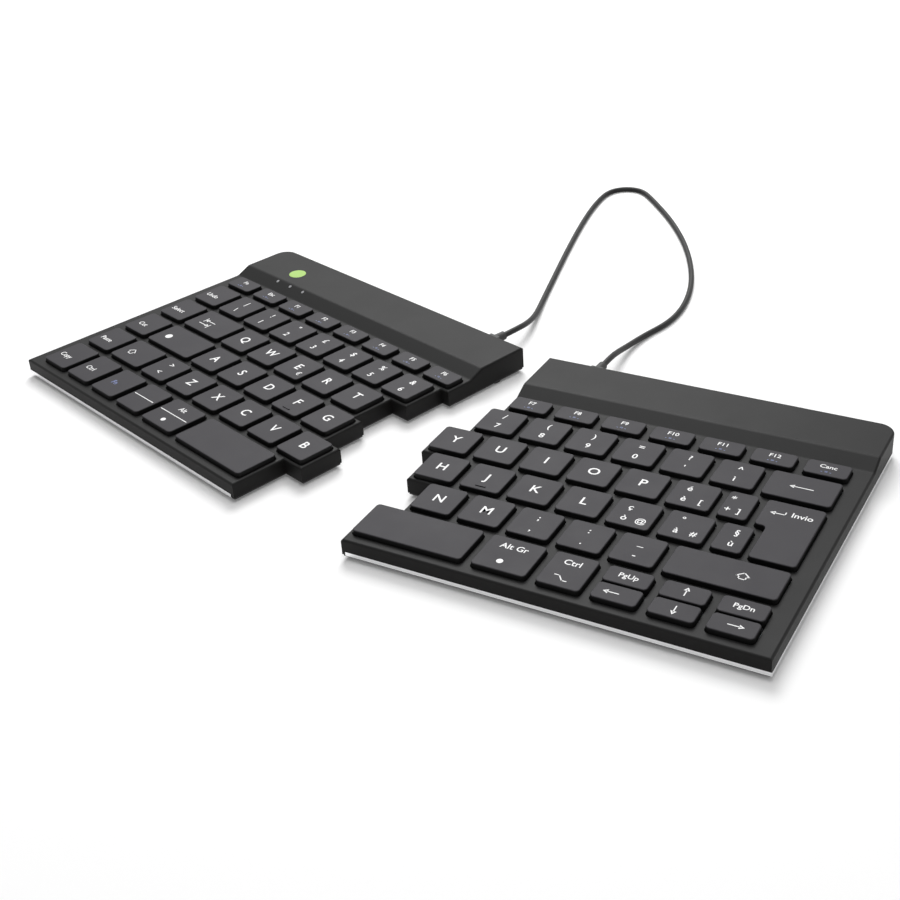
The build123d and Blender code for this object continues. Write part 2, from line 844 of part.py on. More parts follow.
def make_board(half):
    """Circuit board in the hump, with its controller and, on the left, the switch's body."""
    middle_y = board_front + board_depth / 2
    board_back = board_front + board_depth
    tab_back = case_back - case_wall - socket_clearance
    with BuildPart() as board:
        with BuildSketch(half.plane.offset(board_height)):
            with Locations((half.board_x, middle_y)):
                Rectangle(board_width, board_depth)
            if half.outward < 0:
                with Locations((half.board_x, (board_back + tab_back) / 2 - overrun / 2)):
                    Rectangle(board_tab, tab_back - board_back + overrun)
        extrude(amount=board_thickness)
        with BuildSketch(half.plane.offset(board_top)):
            for side in (-1, 1):
                with Locations((half.board_x + side * (membrane_tail / 2 + chip_size), middle_y)):
                    Rectangle(chip_size, chip_size)
        extrude(amount=chip_height)
        if half.outward < 0:
            body_back = case_back - case_wall - switch_clearance - socket_clearance
            body_y = body_back - switch_body_depth / 2
            with BuildSketch(half.plane.offset(board_top)):
                with Locations((half.board_x + switch_offset + switch_travel / 2, body_y)):
                    Rectangle(switch_body_width, switch_body_depth)
            extrude(amount=switch_body_height)
            with BuildSketch(back_plane(half, half.board_x + switch_offset + switch_travel / 2)):
                with Locations((0, switch_middle)):
                    Rectangle(
                        switch_knob_width + switch_travel + 2 * switch_clearance,
                        switch_knob_height + 2 * socket_clearance,
                    )
            extrude(amount=body_back - switch_knob_depth - case_back, mode=Mode.SUBTRACT)
    return board.part


def make_battery(half):
    """Flat rechargeable cell, beside the board in the left hump."""
    with BuildPart() as cell:
        with BuildSketch(half.plane.offset(base_top)):
            with Locations((battery_x, board_front + battery_width / 2)):
                Rectangle(battery_length, battery_width)
        extrude(amount=battery_height)
        lengthwise = Axis(half.plane.origin, half.plane.x_dir)
        fillet(cell.edges().filter_by(lengthwise), battery_corner)
    return cell.part


def make_socket(half):
    """Charging socket: a flat tube with a contact tongue, flush with the back wall."""
    middle = board_top + socket_height / 2
    with BuildPart() as socket:
        with BuildSketch(back_plane(half, half.board_x + socket_offset)):
            with Locations((0, middle)):
                RectangleRounded(socket_width, socket_height, socket_height / 2 - socket_wall / 2)
        extrude(amount=-socket_depth)
        with BuildSketch(back_plane(half, half.board_x + socket_offset)):
            with Locations((0, middle)):
                RectangleRounded(
                    socket_width - 2 * socket_wall,
                    socket_height - 2 * socket_wall,
                    socket_height / 2 - socket_wall - socket_clearance,
                )
        extrude(amount=socket_wall - socket_depth, mode=Mode.SUBTRACT)
        inner_end = back_plane(half, half.board_x + socket_offset, case_back - socket_depth)
        with BuildSketch(inner_end):
            with Locations((0, middle)):
                Rectangle(socket_width - 6 * socket_wall, 2 * socket_wall)
        extrude(amount=socket_depth - 2 * socket_wall)
    return socket.part


def make_switch_knob(half):
    """Thumb knob of the power switch, which slides along the back wall."""
    knob_back = case_back + switch_knob_proud
    depth = switch_knob_proud + case_wall + switch_clearance + socket_clearance + switch_knob_depth / 2
    with BuildPart() as knob:
        with BuildSketch(back_plane(half, half.board_x + switch_offset, knob_back)):
            with Locations((0, switch_middle)):
                Rectangle(switch_knob_width, switch_knob_height)
        extrude(amount=-depth)
        grip = knob.faces().sort_by(Axis(knob_origin(half), half.plane.y_dir))[-1]
        chamfer(grip.edges(), switch_clearance)
    return knob.part


def knob_origin(half):
    return half.plane.from_local_coords((half.board_x, case_back, switch_middle))


def make_status_light(half):
    """Round lens in the top of the hump, with a flange that bears on its underside."""
    foot = hump_top - hump_wall - status_thickness
    with BuildPart() as lens:
        with BuildSketch(half.plane.offset(foot)):
            with Locations((status_x, status_y)):
                Circle(status_radius)
        extrude(amount=hump_wall + status_thickness + status_proud)
        fillet(lens.faces().sort_by(Axis.Z)[-1].edges(), status_proud)
        with BuildSketch(half.plane.offset(foot)):
            with Locations((status_x, status_y)):
                Circle(status_radius + status_thickness)
        extrude(amount=status_thickness - status_clearance)
    return lens.part


def make_indicators(half):
    """Small flanged light guides, flush with the slope at the front of the hump."""
    foot = half.plane.offset(hump_top - indicator_depth)
    skin = above_skin(half)
    lining = above_skin(half, deck_thickness + status_clearance)
    with BuildPart() as guides:
        with BuildSketch(foot):
            with Locations(*indicator_places()):
                Circle(2 * indicator_radius)
        extrude(amount=indicator_depth)
        add(lining, mode=Mode.SUBTRACT)
        with BuildSketch(foot):
            with Locations(*indicator_places()):
                Circle(indicator_radius)
        extrude(amount=indicator_depth)
        add(skin, mode=Mode.SUBTRACT)
    return guides.part


def make_relief(half):
    """Strain relief: a block with ears behind the back wall, which tapers down to the cord."""
    inner_end = back_plane(half, half.relief_x, case_back - case_wall - relief_flange)
    outer_end = back_plane(half, half.relief_x, case_back + relief_block)
    with BuildPart() as relief:
        with BuildSketch(inner_end):
            with Locations((0, cord_exit)):
                RectangleRounded(
                    relief_width + 2 * relief_flange_margin, relief_height, relief_corner
                )
        extrude(amount=relief_flange - relief_clearance)
        with BuildSketch(inner_end):
            with Locations((0, cord_exit)):
                RectangleRounded(relief_width, relief_height, relief_corner - relief_clearance)
        extrude(amount=relief_flange + case_wall + relief_block)
        with Locations(outer_end.location * Location((0, cord_exit, 0))):
            Cone(
                relief_height / 2 - relief_clearance, relief_tip, relief_cone,
                align=(Align.CENTER, Align.CENTER, Align.MIN),
            )
    return relief.part


def on_relief(half, past_tip):
    """A point in line with a half's strain relief, some way past its tip."""
    y = case_back + relief_block + relief_cone + past_tip
    return tuple(half.plane.from_local_coords((half.relief_x, y, cord_exit)))


# The cord's route from the left relief to the right one. It sinks to the desk behind the halves
# and lies there in one long loop.
desk = cord_radius + cord_lift
cord_route = [
    on_relief(left_half, 0),
    on_relief(left_half, cord_lead),
    (-16.5, 90.0, 5.2),
    (-21.5, 103.0, 2.4),
    (-29.0, 119.5, desk),
    (-39.5, 144.5, desk),
    (-52.0, 174.5, desk),
    (-64.5, 206.5, desk),
    (-72.3, 231.0, desk),
    (-74.5, 246.0, desk),
    (-68.9, 253.7, desk),
    (-59.5, 255.3, desk),
    (-46.7, 245.7, desk),
    (-24.0, 226.3, desk),
    (-1.5, 202.0, desk),
    (17.5, 174.5, desk),
    (28.5, 150.5, desk),
    (32.6, 130.0, desk),
    (29.6, 111.5, desk),
    (30.2, 97.0, 2.8),
    (32.0, 87.5, 5.2),
    on_relief(right_half, cord_lead),
    on_relief(right_half, 0),
]


def cord_radii(points):
    """An arc for each corner of the route, as large as its two runs allow."""
    radii = []
    for last, corner, following in zip(points, points[1:], points[2:]):
        arriving = Vector(*corner) - Vector(*last)
        leaving = Vector(*following) - Vector(*corner)
        turn = radians(arriving.get_angle(leaving))
        radii.append(arc_share * min(arriving.length, leaving.length) / tan(turn / 2))
    return radii


def make_cord():
    """The link cord between the halves, as straight runs joined by tangent arcs."""
    radii = cord_radii(cord_route)
    with BuildPart() as cord:
        with BuildLine() as path:
            FilletPolyline(*cord_route, radius=radii)
        with BuildSketch(Plane(origin=path.line @ 0, z_dir=path.line % 0)):
            Circle(cord_radius)
        sweep()
    length = sum(edge.length for edge in path.edges())
    ideal = pi * cord_radius**2 * length
    print("cord length", round(length, 1))
    print("cord bend radii", [round(radius, 1) for radius in radii])
    print("cord volume over section times length", cord.part.volume / ideal)
    return cord.part


for half in (left_half, right_half):
    save(make_base_cover(half), f"{half.name}_base_cover")
    save(make_top_case(half), f"{half.name}_top_case")
    save(make_trim_band(half, trim_proud, trim_depth, trim_height), f"{half.name}_edge_trim")
    save(make_feet(half), f"{half.name}_feet")
    save(make_key_plate(half), f"{half.name}_key_plate")
    save(make_membrane(half), f"{half.name}_membrane")
    save(make_domes(half), f"{half.name}_rubber_domes")
    save(make_levers(half, outer_lever_width, 1, False), f"{half.name}_outer_levers")
    save(make_levers(half, inner_lever_width, -1, True), f"{half.name}_inner_levers")
    save(make_screws(half), f"{half.name}_case_screws")
    save(make_board(half), f"{half.name}_circuit_board")
    save(make_relief(half), f"{half.name}_strain_relief")
    for name, keys in half.rows.items():
        save(make_caps(half, name, keys), name)

save(make_battery(left_half), "battery")
save(make_socket(left_half), "charging_socket")
save(make_switch_knob(left_half), "power_switch")
save(make_status_light(left_half), "status_light")
save(make_indicators(left_half), "indicator_lights")
save(make_cord(), "link_cord")
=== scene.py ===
import json
import math

import bpy
from mathutils import Matrix, Vector


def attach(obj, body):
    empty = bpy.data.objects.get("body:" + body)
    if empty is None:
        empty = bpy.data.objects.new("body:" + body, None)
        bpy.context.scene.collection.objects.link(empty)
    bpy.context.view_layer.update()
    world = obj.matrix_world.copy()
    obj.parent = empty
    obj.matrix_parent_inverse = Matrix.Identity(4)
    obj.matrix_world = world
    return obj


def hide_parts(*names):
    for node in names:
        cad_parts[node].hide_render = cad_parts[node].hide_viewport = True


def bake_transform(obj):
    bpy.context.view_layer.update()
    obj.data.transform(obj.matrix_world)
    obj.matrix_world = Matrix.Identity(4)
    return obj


# %% [markdown]
# # A split keyboard on a white desk
# The keyboard is two flat halves with stepped inner edges, low square keys and a thin cord
# between them. Its shells and keycaps come from the construction model, which already holds
# their real shape. This script gives them their finishes, prints the legends on the keys, lays
# the cord, and sets up the desk, the light and the camera.

# %% Load the construction model
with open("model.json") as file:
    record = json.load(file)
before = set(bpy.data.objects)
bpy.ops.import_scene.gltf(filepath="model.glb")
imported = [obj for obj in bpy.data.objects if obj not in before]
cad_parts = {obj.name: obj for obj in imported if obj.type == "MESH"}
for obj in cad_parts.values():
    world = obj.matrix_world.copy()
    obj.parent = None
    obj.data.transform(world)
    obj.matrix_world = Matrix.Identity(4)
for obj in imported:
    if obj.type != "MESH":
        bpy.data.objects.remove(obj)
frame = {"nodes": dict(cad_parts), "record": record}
nodes = frame["nodes"]
bpy.ops.object.select_all(action="DESELECT")
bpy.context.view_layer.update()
MM = 0.001

# %% [markdown]
# ## Where the halves lie
# Each half has a plan of its own, with x along the key rows and y away from the user. The two
# plans are turned a little against each other, as the hands are. Everything that is printed on
# a half is placed in its plan, and this cell turns a plan's point into a point of the frame.

# %% The two plans
HALF_TURN = math.radians(8.93)
PLANS = {
    "left": (Vector((-106.72, 4.74, 0)) * MM, -HALF_TURN),
    "right": (Vector((23.14, -12.55, 0)) * MM, HALF_TURN),
}


def plan_matrix(half):
    """Turns a point of a half's plan, in metres, into a point of the frame."""
    origin, turn = PLANS[half]
    return Matrix.Translation(origin) @ Matrix.Rotation(turn, 4, "Z")


def on_plan(half, x, y, z):
    """A point given in millimetres in a half's plan, as a point of the frame."""
    return plan_matrix(half) @ (Vector((x, y, z)) * MM)


# %% [markdown]
# ## The camera
# The photograph looks down at the keyboard from the right front. The camera's place, turn and
# lens were solved from the centres of the keys, whose spacing is known.

# %% Camera
AZIMUTH = math.radians(40.26)
ELEVATION = math.radians(31.31)
ROLL = math.radians(-4.21)
EYE = Vector((326.2, -374.3, 292.8)) * MM
LENS = 58.18

back = Vector((
    math.sin(AZIMUTH) * math.cos(ELEVATION),
    -math.cos(AZIMUTH) * math.cos(ELEVATION),
    math.sin(ELEVATION),
))
bpy.ops.object.camera_add(location=EYE)
camera = bpy.context.object
camera.name = "camera"
camera.rotation_mode = "QUATERNION"
level = (-back).to_track_quat("-Z", "Y")
camera.rotation_quaternion = level @ Matrix.Rotation(ROLL, 4, "Z").to_quaternion()
camera.data.lens = LENS
camera.data.sensor_width = 36
camera.data.clip_start = 0.01
bpy.context.scene.camera = camera

# %% [markdown]
# ## The link cord
# A thin limp cord leaves the back of each half through a strain relief, sinks to the desk and
# lies there in one long loop. Its line is a NURBS curve led by listed points. The curve is
# made a tube afterwards.

# %% Cord route
CORD_RADIUS = 1.25 * MM
RELIEF_X = {"left": 79.5, "right": 25.0}
RELIEF_TIP_Y = 79.6
CORD_LEAD = 8.1
EXIT_HEIGHT = 7.4
DESK = 1.3
lying = [
    (-16.5, 90.0, 5.2), (-21.5, 103.0, 2.4), (-29.0, 119.5, DESK), (-39.5, 144.5, DESK),
    (-52.0, 174.5, DESK), (-64.5, 206.5, DESK), (-72.3, 231.0, DESK), (-74.5, 246.0, DESK),
    (-68.9, 253.7, DESK), (-59.5, 255.3, DESK), (-46.7, 245.7, DESK), (-24.0, 226.3, DESK),
    (-1.5, 202.0, DESK), (17.5, 174.5, DESK), (28.5, 150.5, DESK), (32.6, 130.0, DESK),
    (29.6, 111.5, DESK), (30.2, 97.0, 2.8), (32.0, 87.5, 5.2),
]
ends = {
    half: [on_plan(half, x, RELIEF_TIP_Y + lead, EXIT_HEIGHT) for lead in (0, CORD_LEAD)]
    for half, x in RELIEF_X.items()
}
route = ends["left"] + [Vector(point) * MM for point in lying] + ends["right"][::-1]

# %% Cord tube
line = bpy.data.curves.new("link_cord_line", "CURVE")
line.dimensions = "3D"
spline = line.splines.new("NURBS")
spline.points.add(len(route) - 1)
for control, point in zip(spline.points, route):
    control.co = (*point, 1)
spline.order_u = 3
spline.use_endpoint_u = True
spline.resolution_u = 12
cord = bpy.data.objects.new("link_cord_tube", line)
bpy.context.scene.collection.objects.link(cord)
bpy.context.view_layer.update()
centreline = bpy.data.meshes.new_from_object(cord)
bpy.data.meshes.remove(centreline)
line.bevel_depth = CORD_RADIUS
line.bevel_resolution = 5
line.use_fill_caps = True
bpy.context.view_layer.objects.active = cord
cord.select_set(True)
bpy.ops.object.convert(target="MESH")
bpy.ops.object.shade_smooth()
bpy.ops.object.select_all(action="DESELECT")
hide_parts("link_cord")
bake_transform(cord)

# %% [markdown]
# ## Finishes
# Moulded plastic is never one flat colour. It has a fine grain that breaks its gloss, and soft
# patches where fingers have polished it. Both come from one node group, which each material
# uses with its own sizes. A second group tells upward faces from walls and gives the walls a
# colour of their own. The keycaps use it for painted shade: their skirts are made near black
# while their tops keep the key's colour. The case uses it too, for walls a shade warmer.

# %% Node group helpers
NOISE_ROUGHNESS = 0.55


def new_group(name, inputs, outputs):
    """An empty shader node group with its sockets, and its input and output nodes."""
    group = bpy.data.node_groups.new(name, "ShaderNodeTree")
    for label, kind, value in inputs:
        socket = group.interface.new_socket(label, in_out="INPUT", socket_type=kind)
        socket.default_value = value
    for label, kind in outputs:
        group.interface.new_socket(label, in_out="OUTPUT", socket_type=kind)
    entry = group.nodes.new("NodeGroupInput")
    leave = group.nodes.new("NodeGroupOutput")
    return group, entry, leave


def noise(tree, vector, scale, detail):
    """The value of a noise on a vector. Its scale is read from a socket."""
    node = tree.nodes.new("ShaderNodeTexNoise")
    node.inputs["Detail"].default_value = detail
    node.inputs["Roughness"].default_value = NOISE_ROUGHNESS
    tree.links.new(vector, node.inputs["Vector"])
    tree.links.new(scale, node.inputs["Scale"])
    return node.outputs["Fac"]


def maths(tree, operation, first, second):
    """A maths node whose two inputs are sockets or numbers."""
    node = tree.nodes.new("ShaderNodeMath")
    node.operation = operation
    for socket, value in zip(node.inputs, (first, second)):
        if isinstance(value, float):
            socket.default_value = value
        else:
            tree.links.new(value, socket)
    return node.outputs[0]


# %% Moulded grain
FLOAT, COLOUR = "NodeSocketFloat", "NodeSocketColor"
FINE_SHARE, BROAD_SHARE = 0.4, 0.6
NOISE_MEAN = 0.5
GRAIN_DEPTH = 0.05
grain_group, entry, leave = new_group(
    "moulded_grain",
    [("Colour", COLOUR, (0.1, 0.1, 0.1, 1)), ("Variation", FLOAT, 0.1), ("Grain", FLOAT, 2500.0),
     ("Patches", FLOAT, 60.0), ("Roughness", FLOAT, 0.5), ("Spread", FLOAT, 0.1),
     ("Depth", FLOAT, 0.1)],
    [("Colour", COLOUR), ("Roughness", FLOAT), ("Normal", "NodeSocketVector")],
)
coordinates = grain_group.nodes.new("ShaderNodeTexCoord").outputs["Object"]
fine = noise(grain_group, coordinates, entry.outputs["Grain"], detail=3.0)
broad = noise(grain_group, coordinates, entry.outputs["Patches"], detail=4.0)
mixed = maths(grain_group, "ADD", maths(grain_group, "MULTIPLY", fine, FINE_SHARE),
              maths(grain_group, "MULTIPLY", broad, BROAD_SHARE))
centred = maths(grain_group, "SUBTRACT", mixed, NOISE_MEAN)
varied = maths(grain_group, "MULTIPLY", centred, entry.outputs["Variation"])
shade = maths(grain_group, "ADD", 1.0, varied)
tint = grain_group.nodes.new("ShaderNodeVectorMath")
tint.operation = "SCALE"
grain_group.links.new(entry.outputs["Colour"], tint.inputs[0])
grain_group.links.new(shade, tint.inputs["Scale"])
grain_group.links.new(tint.outputs[0], leave.inputs["Colour"])
rough = maths(grain_group, "ADD", entry.outputs["Roughness"],
              maths(grain_group, "MULTIPLY", centred, entry.outputs["Spread"]))
grain_group.links.new(rough, leave.inputs["Roughness"])
bump = grain_group.nodes.new("ShaderNodeBump")
bump.inputs["Distance"].default_value = GRAIN_DEPTH * MM
grain_group.links.new(entry.outputs["Depth"], bump.inputs["Strength"])
grain_group.links.new(fine, bump.inputs["Height"])
grain_group.links.new(bump.outputs["Normal"], leave.inputs["Normal"])

# %% Tops and walls, with painted shade on the keycap skirts
# Walls take the Skirt colour. On the keycaps that colour is painted shade, near black.
tops_group, entry, leave = new_group(
    "coated_top",
    [("Top", COLOUR, (0.1, 0.1, 0.1, 1)), ("Skirt", COLOUR, (0.005, 0.005, 0.005, 1)),
     ("From", FLOAT, 0.35), ("To", FLOAT, 0.85)],
    [("Colour", COLOUR)],
)
facing = tops_group.nodes.new("ShaderNodeSeparateXYZ")
geometry = tops_group.nodes.new("ShaderNodeNewGeometry")
tops_group.links.new(geometry.outputs["True Normal"], facing.inputs[0])
ramp = tops_group.nodes.new("ShaderNodeMapRange")
ramp.interpolation_type = "SMOOTHSTEP"
tops_group.links.new(facing.outputs["Z"], ramp.inputs["Value"])
tops_group.links.new(entry.outputs["From"], ramp.inputs["From Min"])
tops_group.links.new(entry.outputs["To"], ramp.inputs["From Max"])
blend = tops_group.nodes.new("ShaderNodeMix")
blend.data_type = "RGBA"
tops_group.links.new(ramp.outputs["Result"], blend.inputs["Factor"])
tops_group.links.new(entry.outputs["Skirt"], blend.inputs["A"])
tops_group.links.new(entry.outputs["Top"], blend.inputs["B"])
tops_group.links.new(blend.outputs["Result"], leave.inputs["Colour"])

# %% [markdown]
# ## Materials
# One function makes a moulded material from the grain group. Metal, film and lenses use it too,
# with their own values, because they also have patches and fine marks.

# %% Material maker
def finish(name, colour, roughness, variation=0.3, grain=2500.0, patches=60.0, spread=0.15,
           depth=0.08, skirt=None, **shader_values):
    """A material from the grain group. skirt is a piece's wall colour, painted shade on keycaps."""
    material = bpy.data.materials.new(name)
    material.use_nodes = True
    tree = material.node_tree
    shader = tree.nodes["Principled BSDF"]
    node = tree.nodes.new("ShaderNodeGroup")
    node.node_tree = grain_group
    node.inputs["Colour"].default_value = (*colour, 1)
    for label, value in (("Variation", variation), ("Grain", grain), ("Patches", patches),
                         ("Roughness", roughness), ("Spread", spread), ("Depth", depth)):
        node.inputs[label].default_value = value
    if skirt:
        top_and_wall = tree.nodes.new("ShaderNodeGroup")
        top_and_wall.node_tree = tops_group
        top_and_wall.inputs["Top"].default_value = (*colour, 1)
        top_and_wall.inputs["Skirt"].default_value = (*skirt, 1)
        tree.links.new(top_and_wall.outputs["Colour"], node.inputs["Colour"])
    tree.links.new(node.outputs["Colour"], shader.inputs["Base Color"])
    tree.links.new(node.outputs["Roughness"], shader.inputs["Roughness"])
    tree.links.new(node.outputs["Normal"], shader.inputs["Normal"])
    for label, value in shader_values.items():
        shader.inputs[label.replace("_", " ")].default_value = value
    return material


# %% The keyboard's materials
materials = {
    "case_plastic": finish("case_satin_black", (0.0065, 0.0065, 0.0065), 0.5,
                           skirt=(0.0065, 0.0062, 0.006), Specular_IOR_Level=0.13),
    # The keycap skirts get painted shade: near black, far darker than the tops.
    "key_plastic": finish("key_coating", (0.029, 0.0275, 0.0315), 0.55, patches=90.0, spread=0.2,
                          skirt=(0.002, 0.002, 0.002), Specular_IOR_Level=0.16),
    "base_plastic": finish("base_black", (0.006, 0.006, 0.006), 0.5, grain=1500.0),
    "bright_trim": finish("bright_trim", (0.82, 0.82, 0.83), 0.16, variation=0.1, spread=0.1,
                          depth=0.02, Metallic=1.0),
    "foot_rubber": finish("foot_rubber", (0.012, 0.012, 0.012), 0.85, grain=900.0, depth=0.3),
    "plate_steel": finish("plate_steel", (0.45, 0.45, 0.46), 0.35, Metallic=1.0),
    "membrane_film": finish("membrane_film", (0.4, 0.45, 0.47), 0.25, patches=200.0),
    "dome_rubber": finish("dome_rubber", (0.5, 0.5, 0.5), 0.7),
    "lever_plastic": finish("lever_plastic", (0.65, 0.65, 0.62), 0.45),
    "screw_steel": finish("screw_black_steel", (0.06, 0.06, 0.065), 0.4, Metallic=1.0),
    "board_laminate": finish("board_green", (0.015, 0.11, 0.04), 0.35, variation=0.6,
                             patches=400.0),
    "relief_rubber": finish("relief_rubber", (0.009, 0.009, 0.009), 0.6, grain=1200.0),
    "battery_wrap": finish("battery_film", (0.04, 0.07, 0.2), 0.3),
    "socket_steel": finish("socket_steel", (0.6, 0.6, 0.6), 0.3, Metallic=1.0),
    "switch_plastic": finish("switch_black", (0.02, 0.02, 0.02), 0.5),
    "light_lens": finish("green_lens", (0.27, 0.5, 0.04), 0.3, variation=0.15, Coat_Weight=0.4),
    "indicator_lens": finish("smoked_lens", (0.26, 0.26, 0.27), 0.25, Coat_Weight=0.3),
    "cord_jacket": finish("cord_jacket", (0.006, 0.006, 0.006), 0.5, grain=1800.0, patches=150.0,
                          Specular_IOR_Level=0.25),
}
for part in frame["record"]["subparts"]:
    nodes[part["node"]].material_slots[0].material = materials[part["material_slot"]]
cord.data.materials.append(materials["cord_jacket"])

# %% [markdown]
# ## Scissors and domes
# Under each key stand a rubber dome and two crossed levers. When the key goes down the levers
# fold and the dome collapses. Each key's dome and levers are copied from the construction model
# and joined into one object of its own, and the construction model's pieces are hidden.

# %% Mechanism places
ABOVE_KEYS = 20.0
MERGE_DISTANCE = 0.001
MECHANISM_PIECES = ("rubber_domes", "outer_levers", "inner_levers")
DOWN = Vector((0, 0, -1))
key_nodes = [
    part["node"] for part in frame["record"]["subparts"] if part["material_slot"] == "key_plastic"
]
bpy.context.view_layer.update()


def key_above(place):
    """The key node whose cap covers a place of the keyboard."""
    start = Vector((place.x, place.y, ABOVE_KEYS * MM))
    for name in key_nodes:
        if nodes[name].ray_cast(start, DOWN)[0]:
            return name
    raise ValueError(f"no key above {place}")


def loose_parts(node):
    """A CAD node's solids, each copied to an object of its own."""
    copy = bpy.data.objects.new(node + "_copy", nodes[node].data.copy())
    bpy.context.scene.collection.objects.link(copy)
    bpy.ops.object.select_all(action="DESELECT")
    copy.select_set(True)
    bpy.context.view_layer.objects.active = copy
    bpy.ops.object.mode_set(mode="EDIT")
    bpy.ops.mesh.select_all(action="SELECT")
    bpy.ops.mesh.remove_doubles(threshold=MERGE_DISTANCE * MM)
    bpy.ops.mesh.separate(type="LOOSE")
    bpy.ops.object.mode_set(mode="OBJECT")
    return list(bpy.context.selected_objects)


# %% Mechanisms sorted under their keys
for side in ("left", "right"):
    replaced = [f"{side}_{piece}" for piece in MECHANISM_PIECES]
    under = {}
    for node in replaced:
        for part in loose_parts(node):
            corners = [Vector(corner) for corner in part.bound_box]
            middle = sum(corners, Vector()) / len(corners)
            under.setdefault(key_above(middle), []).append(part)
    for key, parts in under.items():
        bpy.ops.object.select_all(action="DESELECT")
        for part in parts:
            part.select_set(True)
        bpy.context.view_layer.objects.active = parts[0]
        bpy.ops.object.join()
        mechanism = bpy.context.object
        mechanism.name = key.replace("_keys", "").replace("_key", "") + "_scissors"
        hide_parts(*replaced)
        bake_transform(mechanism)
    print(side, "mechanisms under", len(under), "key pieces")
bpy.ops.object.select_all(action="DESELECT")

# %% [markdown]
# ## Legends
# The legends are pad-printed in white ink, a few hundredths of a millimetre thick. Each one is
# a text object that lies on its key's top. The legends of one row of keys are made one mesh,
# which moves with that row. The function keys have a second, dim blue mark for their other job.

# %% Ink
def ink(name, colour):
    """The finish of a printed mark."""
    return finish(name, colour, 0.5, variation=0.12, patches=700.0, depth=0.02)


white_ink = ink("white_ink", (0.8, 0.8, 0.8))
blue_ink = ink("blue_ink", (0.13, 0.17, 0.36))
KEY_TOP = 10.2
INK_THICKNESS = 0.02
PITCH, NUMBER_PITCH, FUNCTION_PITCH = 19.0, 18.95, 19.6
ROW_Y = {
    "function": 34.55, "number": PITCH, "upper": 0.0, "home": -PITCH, "lower": -2 * PITCH,
    "bottom": -58.3,
}
LETTER, DIGIT, ACCENT, WORD, SMALL = 6.0, 4.3, 4.0, 3.5, 2.2
BOLDEN = 0.011
printed_marks = {}


def ink_place(half, x, y):
    """The matrix that lays a mark of ink on a key's top, at a place of a half's plan."""
    middle = Vector((x, y, KEY_TOP + INK_THICKNESS / 2)) * MM
    return plan_matrix(half) @ Matrix.Translation(middle)


def keep_mark(node, mark, ink_used):
    """Inks a mark, and keeps it for the node that it is printed on."""
    mark.data.materials.append(ink_used)
    printed_marks.setdefault(node, []).append(mark)


def letter(node, half, text, x, y, size, ink_used=white_ink):
    """A legend centred on a place of a half's plan."""
    bpy.ops.object.text_add()
    legend = bpy.context.object
    legend.data.body = text
    legend.data.align_x = "CENTER"
    legend.data.align_y = "CENTER"
    legend.data.size = size * MM
    legend.data.extrude = INK_THICKNESS / 2 * MM
    legend.data.offset = BOLDEN * size * MM
    legend.data.resolution_u = 3
    legend.matrix_world = ink_place(half, x, y)
    keep_mark(node, legend, ink_used)


# %% Letters, digits and marks
UPPER_RISE, LOWER_DROP, THREE_MARKS_SETBACK = 3.2, 3.6, 2.4
ASIDE, NARROW_ASIDE = 6.2, 4.2
NARROW_KEY_X = {"upper": 110.9, "home": 116.6}


def letters(node, half, start, row, marks):
    """A row of single letters, centred on their keys."""
    for n, mark in enumerate(marks):
        letter(node, half, mark, start + n * PITCH, ROW_Y[row], LETTER)


def pairs(node, half, start, row, marks, pitch=PITCH, aside=ASIDE):
    """Keys with one mark above another, and perhaps a third at the lower right."""
    low = ROW_Y[row] - LOWER_DROP
    for n, (upper, lower, *third) in enumerate(marks):
        x = start + n * pitch - (THREE_MARKS_SETBACK if third else 0)
        letter(node, half, upper, x, ROW_Y[row] + UPPER_RISE, DIGIT)
        letter(node, half, lower, x, low, DIGIT)
        for mark in third:
            letter(node, half, mark, x + aside, low, ACCENT)


letters("left_q_row_keys", "left", 0, "upper", "QWERT")
letters("left_a_row_keys", "left", PITCH / 4, "home", "ASDFG")
letters("left_z_row_keys", "left", 3 * PITCH / 4, "lower", "ZXCVB")
pairs("left_z_row_keys", "left", -PITCH / 4, "lower", ["><"])
letters("right_y_row_keys", "right", 0, "upper", "YUIOP")
letters("right_h_row_keys", "right", PITCH / 4, "home", "HJKL")
letters("right_n_row_keys", "right", 3 * PITCH / 4, "lower", "NM")
pairs("right_n_row_keys", "right", 3 * PITCH / 4 + 2 * PITCH, "lower", [";,", ":.", "_-"])
pairs("left_number_keys", "left", -3 * PITCH / 2, "number",
      ["|\\", "!1", "\"2", "£3", "$4", "%5", "&6"], NUMBER_PITCH)
pairs("right_number_keys", "right", PITCH / 2, "number", ["/7", "(8", ")9", "=0", "?'", "^ì"],
      NUMBER_PITCH)
pairs("right_y_row_keys", "right", 5 * PITCH, "upper", ["éè["])
pairs("right_y_row_keys", "right", NARROW_KEY_X["upper"], "upper", ["*+]"], aside=NARROW_ASIDE)
pairs("right_h_row_keys", "right", PITCH / 4 + 4 * PITCH, "home", ["çò@", "°à#"])
pairs("right_h_row_keys", "right", NARROW_KEY_X["home"], "home", ["§ù"])

# %% Function keys
FUNCTION_START = {"left": -47.85, "right": 14.5}
FUNCTION_RISE, BLUE_DROP, FUNCTION_WORD = 1.2, 2.2, 3.1
function_marks = {
    "left": ["Fn", "Esc", "F1", "F2", "F3", "F4", "F5", "F6"],
    "right": ["F7", "F8", "F9", "F10", "F11", "F12", "Canc"],
}
for half, marks in function_marks.items():
    for n, mark in enumerate(marks):
        x = FUNCTION_START[half] + n * FUNCTION_PITCH
        node = f"{half}_function_keys"
        letter(node, half, mark, x, ROW_Y["function"] + FUNCTION_RISE, FUNCTION_WORD)
        letter(node, half, "- = -", x, ROW_Y["function"] - BLUE_DROP, SMALL, blue_ink)

